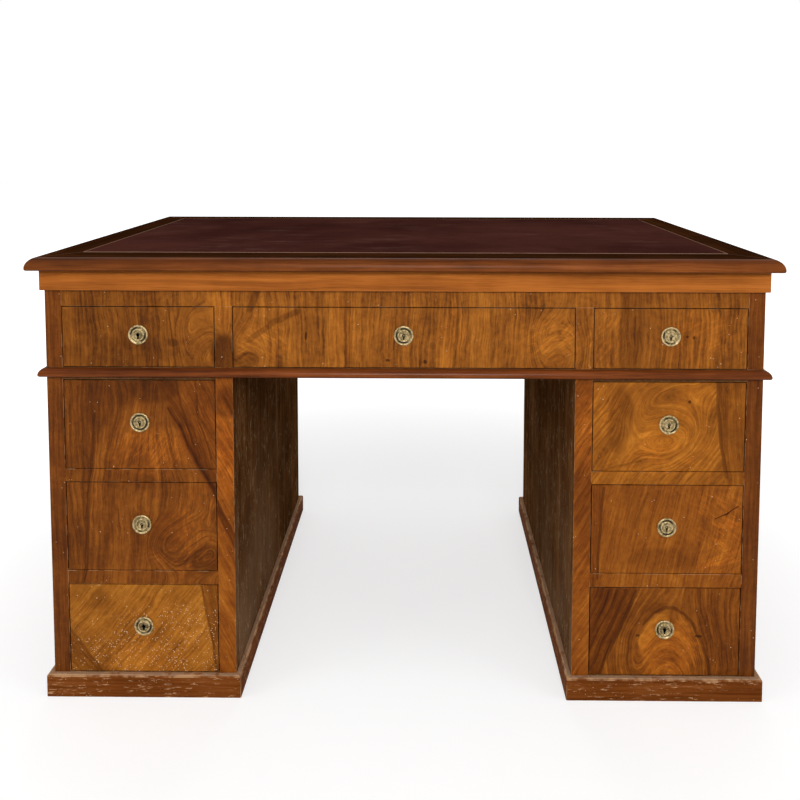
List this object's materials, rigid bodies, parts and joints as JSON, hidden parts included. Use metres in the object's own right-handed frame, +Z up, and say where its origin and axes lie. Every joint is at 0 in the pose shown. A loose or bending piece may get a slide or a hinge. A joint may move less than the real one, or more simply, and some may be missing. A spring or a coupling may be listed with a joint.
{
  "type": "pedestal writing desk",
  "caption": "Antique-style pedestal writing desk with a leather writing surface, a kneehole, and lockable dovetailed drawers in the frieze and in both pedestals.",
  "frame": {"origin": "middle of the desk's footprint, on the floor", "axes": "+X to the right of a person who sits at the desk, +Y from the drawer fronts to the back, +Z up"},
  "size_m": [1.28, 0.7, 0.781],
  "materials": {
    "walnut_veneer": "figured walnut, waxed",
    "moulding_wood": "straight-grained, polished",
    "border_wood": "dark, polished",
    "plinth_wood": "worn wax",
    "secondary_wood": "unfinished softwood",
    "drawer_wood": "unfinished hardwood",
    "leather": "worn",
    "brass": "aged",
    "iron": "dull"
  },
  "bodies": {
    "carcass": {"top_border": "border_wood", "top_panel": "secondary_wood", "leather_inset": "leather", "fascia_band": "moulding_wood", "frieze_face_frame": "walnut_veneer", "frieze_ends": "walnut_veneer", "frieze_back": "walnut_veneer", "frieze_dividers": "secondary_wood", "frieze_bottom": "secondary_wood", "waist_moulding": "moulding_wood", "drawer_runners": "secondary_wood", "locating_blocks": "secondary_wood", "left_outer_side": "walnut_veneer", "left_inner_side": "walnut_veneer", "left_back": "walnut_veneer", "left_boards": "secondary_wood", "left_face_frame": "walnut_veneer", "left_plinth": "plinth_wood", "right_outer_side": "walnut_veneer", "right_inner_side": "walnut_veneer", "right_back": "walnut_veneer", "right_boards": "secondary_wood", "right_face_frame": "walnut_veneer", "right_plinth": "plinth_wood"},
    "frieze_left_drawer": {"frieze_left_drawer_front": "walnut_veneer", "frieze_left_drawer_box": "drawer_wood", "frieze_left_lock": "brass"},
    "frieze_left_bolt": {"frieze_left_bolt": "iron"},
    "frieze_centre_drawer": {"frieze_centre_drawer_front": "walnut_veneer", "frieze_centre_drawer_box": "drawer_wood", "frieze_centre_lock": "brass"},
    "frieze_centre_bolt": {"frieze_centre_bolt": "iron"},
    "frieze_right_drawer": {"frieze_right_drawer_front": "walnut_veneer", "frieze_right_drawer_box": "drawer_wood", "frieze_right_lock": "brass"},
    "frieze_right_bolt": {"frieze_right_bolt": "iron"},
    "left_upper_drawer": {"left_upper_drawer_front": "walnut_veneer", "left_upper_drawer_box": "drawer_wood", "left_upper_lock": "brass"},
    "left_upper_bolt": {"left_upper_bolt": "iron"},
    "left_middle_drawer": {"left_middle_drawer_front": "walnut_veneer", "left_middle_drawer_box": "drawer_wood", "left_middle_lock": "brass"},
    "left_middle_bolt": {"left_middle_bolt": "iron"},
    "left_lower_drawer": {"left_lower_drawer_front": "walnut_veneer", "left_lower_drawer_box": "drawer_wood", "left_lower_lock": "brass"},
    "left_lower_bolt": {"left_lower_bolt": "iron"},
    "right_upper_drawer": {"right_upper_drawer_front": "walnut_veneer", "right_upper_drawer_box": "drawer_wood", "right_upper_lock": "brass"},
    "right_upper_bolt": {"right_upper_bolt": "iron"},
    "right_middle_drawer": {"right_middle_drawer_front": "walnut_veneer", "right_middle_drawer_box": "drawer_wood", "right_middle_lock": "brass"},
    "right_middle_bolt": {"right_middle_bolt": "iron"},
    "right_lower_drawer": {"right_lower_drawer_front": "walnut_veneer", "right_lower_drawer_box": "drawer_wood", "right_lower_lock": "brass"},
    "right_lower_bolt": {"right_lower_bolt": "iron"}
  },
  "joints": [
    {"name": "frieze_left_slide", "type": "slide", "parent": "carcass", "child": "frieze_left_drawer", "axis": [0, -1, 0], "range_m": [0, 0.4]},
    {"name": "frieze_centre_slide", "type": "slide", "parent": "carcass", "child": "frieze_centre_drawer", "axis": [0, -1, 0], "range_m": [0, 0.4]},
    {"name": "frieze_right_slide", "type": "slide", "parent": "carcass", "child": "frieze_right_drawer", "axis": [0, -1, 0], "range_m": [0, 0.4]},
    {"name": "left_upper_slide", "type": "slide", "parent": "carcass", "child": "left_upper_drawer", "axis": [0, -1, 0], "range_m": [0, 0.4]},
    {"name": "left_middle_slide", "type": "slide", "parent": "carcass", "child": "left_middle_drawer", "axis": [0, -1, 0], "range_m": [0, 0.4]},
    {"name": "left_lower_slide", "type": "slide", "parent": "carcass", "child": "left_lower_drawer", "axis": [0, -1, 0], "range_m": [0, 0.4]},
    {"name": "right_upper_slide", "type": "slide", "parent": "carcass", "child": "right_upper_drawer", "axis": [0, -1, 0], "range_m": [0, 0.4]},
    {"name": "right_middle_slide", "type": "slide", "parent": "carcass", "child": "right_middle_drawer", "axis": [0, -1, 0], "range_m": [0, 0.4]},
    {"name": "right_lower_slide", "type": "slide", "parent": "carcass", "child": "right_lower_drawer", "axis": [0, -1, 0], "range_m": [0, 0.4]},
    {"name": "frieze_left_bolt_throw", "type": "slide", "parent": "frieze_left_drawer", "child": "frieze_left_bolt", "axis": [0, 0, 1], "range_m": [0, 0.007]},
    {"name": "frieze_centre_bolt_throw", "type": "slide", "parent": "frieze_centre_drawer", "child": "frieze_centre_bolt", "axis": [0, 0, 1], "range_m": [0, 0.007]},
    {"name": "frieze_right_bolt_throw", "type": "slide", "parent": "frieze_right_drawer", "child": "frieze_right_bolt", "axis": [0, 0, 1], "range_m": [0, 0.007]},
    {"name": "left_upper_bolt_throw", "type": "slide", "parent": "left_upper_drawer", "child": "left_upper_bolt", "axis": [0, 0, 1], "range_m": [0, 0.007]},
    {"name": "left_middle_bolt_throw", "type": "slide", "parent": "left_middle_drawer", "child": "left_middle_bolt", "axis": [0, 0, 1], "range_m": [0, 0.007]},
    {"name": "left_lower_bolt_throw", "type": "slide", "parent": "left_lower_drawer", "child": "left_lower_bolt", "axis": [0, 0, 1], "range_m": [0, 0.007]},
    {"name": "right_upper_bolt_throw", "type": "slide", "parent": "right_upper_drawer", "child": "right_upper_bolt", "axis": [0, 0, 1], "range_m": [0, 0.007]},
    {"name": "right_middle_bolt_throw", "type": "slide", "parent": "right_middle_drawer", "child": "right_middle_bolt", "axis": [0, 0, 1], "range_m": [0, 0.007]},
    {"name": "right_lower_bolt_throw", "type": "slide", "parent": "right_lower_drawer", "child": "right_lower_bolt", "axis": [0, 0, 1], "range_m": [0, 0.007]}
  ]
}
